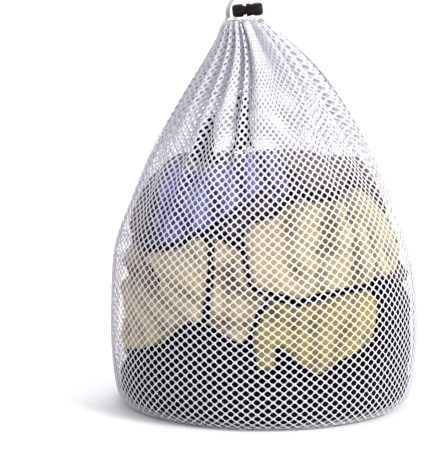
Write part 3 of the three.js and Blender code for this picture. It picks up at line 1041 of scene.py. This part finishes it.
def makeCore(name, upper):
    around = coreSettings["around"]
    turns = np.linspace(-math.pi, math.pi, around, endpoint=False)
    rows = []
    shades = []
    shares = np.linspace(0, 1, 34)
    split = splitHeight(turns) + (1 if upper else -1) * mm    # the two garments don't touch
    for share in shares:
        if upper:
            z = split + (coreTop(turns) - split) * share
        else:
            z = coreSettings["bottom"] + (split - coreSettings["bottom"]) * share
        s = turns * plainRadius
        wide = np.where(s > 0, s - 2 * math.pi * plainRadius, s + 2 * math.pi * plainRadius)
        folds = foldsAt(s, z, coreSettings["folds"])
        near = np.clip((math.pi - np.abs(turns)) / 0.35, 0, 1)
        folds = near * folds + (1 - near) * foldsAt(np.abs(wide), z, coreSettings["folds"]) * 0.5
        depth = coreSettings["clear"] + folds + np.maximum(coverDepth(s, z), coverDepth(wide, z))
        roll = coreSettings["edgeRoll"] * edgeRoll((share if upper else 1 - share) / 0.12)
        if not upper:
            roll += coreSettings["bottomRoll"] * edgeRoll(share / 0.05)
        rows.append(insideNet(s, z, depth + roll))
        # painted shade in the fold valleys, and painted shadow just outside the front garments' edges; the dome
        # top gets none
        shade = np.clip(folds / bundleSettings["shadeDepth"], 0, 1) * 0.9
        shades.append(np.maximum(shade, edgeShade(s, z)))
    middleLow = np.array([0, 0, float(rows[0][:, 2].mean()) + (2 * mm if upper else 0)])
    if upper:
        top = rows[-1]
        for share in (0.25, 0.5, 0.72, 0.88):
            ring = top * (1 - share)
            ring[:, 2] = top[:, 2] + (coreSettings["domeTop"] - top[:, 2]) * math.sin(share * math.pi / 2)
            ring[:, 2] += 3.5 * mm * np.sin(4 * turns + 9 * share) * (1 - share) * share * 4
            rows.append(ring)
            shades.append(np.zeros(around))
        middleHigh = np.array([0, 0, coreSettings["domeTop"]])
    else:
        middleHigh = np.array([0, 0, float(rows[-1][:, 2].mean()) - 2 * mm])
    points = np.vstack(rows + [middleLow, middleHigh])
    faces = []
    for i in range(len(rows) - 1):
        for k in range(around):
            m = (k + 1) % around
            faces.append((i * around + k, i * around + m, (i + 1) * around + m, (i + 1) * around + k))
    lowCentre, highCentre = len(points) - 2, len(points) - 1
    last = (len(rows) - 1) * around
    for k in range(around):
        m = (k + 1) % around
        faces.append((lowCentre, m, k))
        faces.append((highCentre, last + k, last + m))
    obj = meshObject(name, points, faces)
    addShade(obj, np.concatenate(shades + [np.zeros(2)]))
    return obj


darkPiece = makeCore("darkGarments", upper=False)
mauvePiece = makeCore("mauveGarment", upper=True)
frontFaces = sum(len(piece.data.polygons) for piece in garmentPieces.values())
print("load made:", frontFaces, "faces on the front garments")


# materials

def makeNetMaterial(name, settings):
    material, nodes, links = emptyMaterial(name)
    place = nodes.new("ShaderNodeUVMap")
    place.label = "cloth, in metres"
    loops = nodes.new("ShaderNodeTexWave")
    loops.label = "rows of loops"
    fibres = nodes.new("ShaderNodeTexNoise")
    fibres.label = "loose fibres"
    together = nodes.new("ShaderNodeMath")
    together.label = "loops and fibres"
    relief = nodes.new("ShaderNodeBump")
    relief.label = "loop relief"
    surface = nodes.new("ShaderNodeBsdfPrincipled")
    surface.label = "polyester yarn"
    thin = nodes.new("ShaderNodeBsdfTranslucent")
    thin.label = "light through the bands"
    blend = nodes.new("ShaderNodeMixShader")
    blend.label = "share let through"
    output = nodes.new("ShaderNodeOutputMaterial")
    knit = nodes.new("NodeFrame")
    knit.label = "knitted loops"
    for node in (loops, fibres, together, relief):
        node.parent = knit
    light = nodes.new("NodeFrame")
    light.label = "thin cloth"
    for node in (thin, blend):
        node.parent = light
    for node, x, y in (
        (place, -1150, 0), (loops, -950, 120), (fibres, -950, -220), (together, -720, 0), (relief, -520, 0),
        (surface, -260, 200), (thin, -260, -320), (blend, 60, 0), (output, 280, 0),
    ):
        node.location = (x, y)
    place.uv_map = "cloth"
    loops.bands_direction = "DIAGONAL"
    together.operation = "ADD"
    for node, socket, value in (
        (loops, "Scale", 76), (loops, "Distortion", 2), (fibres, "Scale", 2200), (fibres, "Detail", 2),
        (relief, "Strength", 0.35), (relief, "Distance", 0.1 * mm), (surface, "Base Color", settings["colour"]),
        (surface, "Roughness", settings["roughness"]), (surface, "Sheen Weight", 0.25),
        (surface, "Specular IOR Level", 0.4), (thin, "Color", settings["throughColour"]),
        (blend, "Fac", settings["through"]),
    ):
        node.inputs[socket].default_value = value
    links.new(place.outputs["UV"], loops.inputs["Vector"])
    links.new(place.outputs["UV"], fibres.inputs["Vector"])
    links.new(loops.outputs["Fac"], together.inputs[0])
    links.new(fibres.outputs["Fac"], together.inputs[1])
    links.new(together.outputs["Value"], relief.inputs["Height"])
    links.new(relief.outputs["Normal"], surface.inputs["Normal"])
    links.new(surface.outputs["BSDF"], blend.inputs[1])
    links.new(thin.outputs["BSDF"], blend.inputs[2])
    links.new(blend.outputs["Shader"], output.inputs["Surface"])
    return material


def makePlasticMaterial(name):
    material, nodes, links = emptyMaterial(name)
    place = nodes.new("ShaderNodeTexCoord")
    place.label = "place on the lock"
    grain = nodes.new("ShaderNodeTexNoise")
    grain.label = "moulded grain"
    relief = nodes.new("ShaderNodeBump")
    relief.label = "grain relief"
    wear = nodes.new("ShaderNodeMapRange")
    wear.label = "handled patches"
    surface = nodes.new("ShaderNodeBsdfPrincipled")
    surface.label = "black nylon"
    output = nodes.new("ShaderNodeOutputMaterial")
    moulded = nodes.new("NodeFrame")
    moulded.label = "moulded surface"
    for node in (grain, relief, wear):
        node.parent = moulded
    for node, x, y in (
        (place, -900, 0), (grain, -700, 0), (relief, -450, -150), (wear, -450, 150), (surface, -200, 0),
        (output, 100, 0),
    ):
        node.location = (x, y)
    for node, socket, value in (
        (grain, "Scale", 900), (grain, "Detail", 3), (relief, "Strength", 0.15),
        (relief, "Distance", 0.05 * mm), (wear, "To Min", 0.3), (wear, "To Max", 0.42),
        (surface, "Base Color", (0.006, 0.004, 0.004, 1)),
        (surface, "Specular IOR Level", 0.16),
    ):
        node.inputs[socket].default_value = value
    links.new(place.outputs["Object"], grain.inputs["Vector"])
    links.new(grain.outputs["Fac"], relief.inputs["Height"])
    links.new(grain.outputs["Fac"], wear.inputs["Value"])
    links.new(wear.outputs["Result"], surface.inputs["Roughness"])
    links.new(relief.outputs["Normal"], surface.inputs["Normal"])
    links.new(surface.outputs["BSDF"], output.inputs["Surface"])
    return material


# braided cord: strands cross along the UV map of the tube
def makeBraidMaterial(name, settings):
    material, nodes, links = emptyMaterial(name)
    place = nodes.new("ShaderNodeUVMap")
    place.label = "round and along the cord"
    spread = nodes.new("ShaderNodeMapping")
    spread.label = "strand pitch"
    strands = nodes.new("ShaderNodeTexWave")
    strands.label = "braided strands"
    relief = nodes.new("ShaderNodeBump")
    relief.label = "strand relief"
    shade = nodes.new("ShaderNodeMix")
    shade.label = "shade between strands"
    surface = nodes.new("ShaderNodeBsdfPrincipled")
    surface.label = "white polyester"
    output = nodes.new("ShaderNodeOutputMaterial")
    braid = nodes.new("NodeFrame")
    braid.label = "braid"
    for node in (spread, strands, relief, shade):
        node.parent = braid
    for node, x, y in (
        (place, -1100, 0), (spread, -900, 0), (strands, -700, 0), (relief, -450, -150), (shade, -450, 150),
        (surface, -200, 0), (output, 100, 0),
    ):
        node.location = (x, y)
    place.uv_map = "cloth"
    strands.bands_direction = "DIAGONAL"
    shade.data_type = "RGBA"
    for node, socket, value in (
        (spread, "Scale", (6.28, settings["pitch"], 1)), (strands, "Scale", 1), (relief, "Strength", 0.6),
        (relief, "Distance", 0.2 * mm), (shade, "A", settings["between"]), (shade, "B", settings["colour"]),
        (surface, "Roughness", 0.6), (surface, "Sheen Weight", 0.2),
    ):
        node.inputs[socket].default_value = value
    links.new(place.outputs["UV"], spread.inputs["Vector"])
    links.new(spread.outputs["Vector"], strands.inputs["Vector"])
    links.new(strands.outputs["Fac"], relief.inputs["Height"])
    links.new(strands.outputs["Fac"], shade.inputs["Factor"])
    links.new(shade.outputs["Result"], surface.inputs["Base Color"])
    links.new(relief.outputs["Normal"], surface.inputs["Normal"])
    links.new(surface.outputs["BSDF"], output.inputs["Surface"])
    return material


def makeClothMaterial(name, settings):
    material, nodes, links = emptyMaterial(name)
    place = nodes.new("ShaderNodeTexCoord")
    place.label = "place on the garment"
    mottle = nodes.new("ShaderNodeTexNoise")
    mottle.label = "uneven dye"
    colours = nodes.new("ShaderNodeMix")
    colours.label = "cloth colour"
    # painted shade: the crease attribute, 0 to 1, darkens the cloth towards its shade colour in fold valleys,
    # at rolled edges and beside the front garments' edges
    depth = nodes.new("ShaderNodeAttribute")
    depth.label = "painted shade from folds and edges"
    folded = nodes.new("ShaderNodeMix")
    folded.label = "painted shade in folds and at edges"
    creases = nodes.new("ShaderNodeTexNoise")
    creases.label = "small creases"
    creaseRelief = nodes.new("ShaderNodeBump")
    creaseRelief.label = "crease relief"
    weaveOver = nodes.new("ShaderNodeTexWave")
    weaveOver.label = "threads across"
    weaveUp = nodes.new("ShaderNodeTexWave")
    weaveUp.label = "threads up"
    weave = nodes.new("ShaderNodeMath")
    weave.label = "woven together"
    weaveRelief = nodes.new("ShaderNodeBump")
    weaveRelief.label = "weave relief"
    surface = nodes.new("ShaderNodeBsdfPrincipled")
    surface.label = "cotton"
    output = nodes.new("ShaderNodeOutputMaterial")
    # this frame holds the uneven dye and the painted shade in folds and at edges
    dye = nodes.new("NodeFrame")
    dye.label = "dye"
    for node in (mottle, colours, depth, folded):
        node.parent = dye
    weaving = nodes.new("NodeFrame")
    weaving.label = "weave and creases"
    for node in (creases, creaseRelief, weaveOver, weaveUp, weave, weaveRelief):
        node.parent = weaving
    for node, x, y in (
        (place, -1500, 0), (mottle, -1250, 420), (colours, -1000, 420), (depth, -1000, 680),
        (folded, -760, 500), (creases, -1250, 100), (creaseRelief, -760, 100), (weaveOver, -1250, -220),
        (weaveUp, -1250, -560),
        (weave, -1000, -360), (weaveRelief, -520, -100), (surface, -240, 200), (output, 80, 200),
    ):
        node.location = (x, y)
    colours.data_type = "RGBA"
    folded.data_type = "RGBA"
    depth.attribute_name = "crease"
    weaveOver.bands_direction = "X"
    weaveUp.bands_direction = "Z"
    weave.operation = "MAXIMUM"
    for node, socket, value in (
        (mottle, "Scale", 45), (mottle, "Detail", 4), (colours, "A", settings["colour"]),
        (colours, "B", settings["wornColour"]), (folded, "B", settings["paintedShadeColour"]), (creases, "Scale", 60),
        (creases, "Detail", 3), (creases, "Distortion", 0.8), (creaseRelief, "Strength", 0.5),
        (creaseRelief, "Distance", 3 * mm), (weaveOver, "Scale", settings["threads"]),
        (weaveUp, "Scale", settings["threads"]), (weaveRelief, "Strength", 0.3),
        (weaveRelief, "Distance", 0.15 * mm), (surface, "Roughness", 0.9),
        (surface, "Sheen Weight", settings["sheen"]), (surface, "Specular IOR Level", settings["shine"]),
    ):
        node.inputs[socket].default_value = value
    for pattern in (mottle, creases, weaveOver, weaveUp):
        links.new(place.outputs["Object"], pattern.inputs["Vector"])
    links.new(mottle.outputs["Fac"], colours.inputs["Factor"])
    links.new(colours.outputs["Result"], folded.inputs["A"])
    links.new(depth.outputs["Fac"], folded.inputs["Factor"])
    links.new(folded.outputs["Result"], surface.inputs["Base Color"])
    links.new(weaveOver.outputs["Fac"], weave.inputs[0])
    links.new(weaveUp.outputs["Fac"], weave.inputs[1])
    links.new(creases.outputs["Fac"], creaseRelief.inputs["Height"])
    links.new(weave.outputs["Value"], weaveRelief.inputs["Height"])
    links.new(creaseRelief.outputs["Normal"], weaveRelief.inputs["Normal"])
    links.new(weaveRelief.outputs["Normal"], surface.inputs["Normal"])
    links.new(surface.outputs["BSDF"], output.inputs["Surface"])
    return material


# each cloth's third colour is painted shade, mixed in where the crease attribute marks fold valleys and edges
clothSettings = {
    "lavender_cloth": {
        "colour": (0.10, 0.095, 0.38, 1), "wornColour": (0.30, 0.29, 0.68, 1),
        "paintedShadeColour": (0.018, 0.018, 0.12, 1),
    },
    "cream_cloth": {
        "colour": (0.44, 0.34, 0.14, 1), "wornColour": (0.62, 0.52, 0.27, 1),
        "paintedShadeColour": (0.11, 0.075, 0.022, 1),
    },
    "olive_cloth": {
        "colour": (0.25, 0.19, 0.025, 1), "wornColour": (0.42, 0.35, 0.075, 1),
        "paintedShadeColour": (0.07, 0.05, 0.008, 1),
    },
    "dark_cloth": {
        "colour": (0.003, 0.0025, 0.004, 1), "wornColour": (0.006, 0.005, 0.008, 1),
        "paintedShadeColour": (0.001, 0.001, 0.001, 1), "sheen": 0, "shine": 0.05,
    },
    "mauve_cloth": {
        "colour": (0.12, 0.08, 0.075, 1), "wornColour": (0.28, 0.20, 0.18, 1),
        "paintedShadeColour": (0.03, 0.018, 0.018, 1),
    },
}
materials = {
    "net": makeNetMaterial("netMaterial", {
        "colour": (0.87, 0.855, 0.905, 1), "throughColour": (0.90, 0.885, 0.94, 1), "roughness": 0.5,
        "through": 0.4,
    }),
    "cord": makeBraidMaterial("drawstringCord", {
        "pitch": 2400, "colour": (0.86, 0.86, 0.88, 1), "between": (0.6, 0.6, 0.64, 1),
    }),
    "lock_plastic": makePlasticMaterial("blackNylon"),
    "spring_steel": makePlainMaterial("springSteel", "spring steel", {
        "Base Color": (0.55, 0.56, 0.58, 1), "Metallic": 1, "Roughness": 0.3,
    }),
}
tapeMaterial = makeNetMaterial("tapeMaterial", {
    "colour": (0.84, 0.84, 0.88, 1), "throughColour": (0.88, 0.88, 0.93, 1), "roughness": 0.65, "through": 0.25,
})
for slot in ("seam_tape", "hem_tape", "thread"):
    materials[slot] = tapeMaterial
for slot, settings in clothSettings.items():
    settings = {"threads": 380, "sheen": 0.1, "shine": 0.2, **settings}
    materials[slot] = makeClothMaterial(slot.replace("_c", "C"), settings)
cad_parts["bottom_seam"].data.materials.clear()
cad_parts["bottom_seam"].data.materials.append(tapeMaterial)

# each piece, its slot and the node it stands for, by the body it rides; the loop joins two bodies
fronts = [(piece, garments[name]["slot"], garments[name]["node"]) for name, piece in garmentPieces.items()]
ridden = {
    "bag": fronts + [
        (darkPiece, "dark_cloth", "dark_garments"), (mauvePiece, "mauve_cloth", "mauve_garment"),
        (seamLeft, "seam_tape", "side_seam_left"), (seamRight, "seam_tape", "side_seam_right"),
        (hemPiece, "hem_tape", "hem_casing"), (stitchPiece, "thread", "hem_stitching"),
        (sleevePiece, "dark_cloth", "dark_sleeve"), (netFront, "net", "net_panel_front"),
        (netBack, "net", "net_panel_back"),
    ],
    "cord_lock": [
        (tailLeft, "cord", "drawstring_tail_left"), (tailRight, "cord", "drawstring_tail_right"),
        (knotPiece, "cord", "drawstring_knot"), (barrelPiece, "lock_plastic", "lock_barrel"),
        (springPiece, "spring_steel", "lock_spring"),
    ],
    "button": [(buttonPiece, "lock_plastic", "lock_plunger")],
    None: [(loopPiece, "cord", "drawstring_loop")],
}
for body, rows in ridden.items():
    for piece, slot, node in rows:
        piece.data.materials.append(materials[slot])
        if body:
            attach(piece, body)
        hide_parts(node)
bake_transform(loopPiece)
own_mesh(springPiece)
print("materials made")
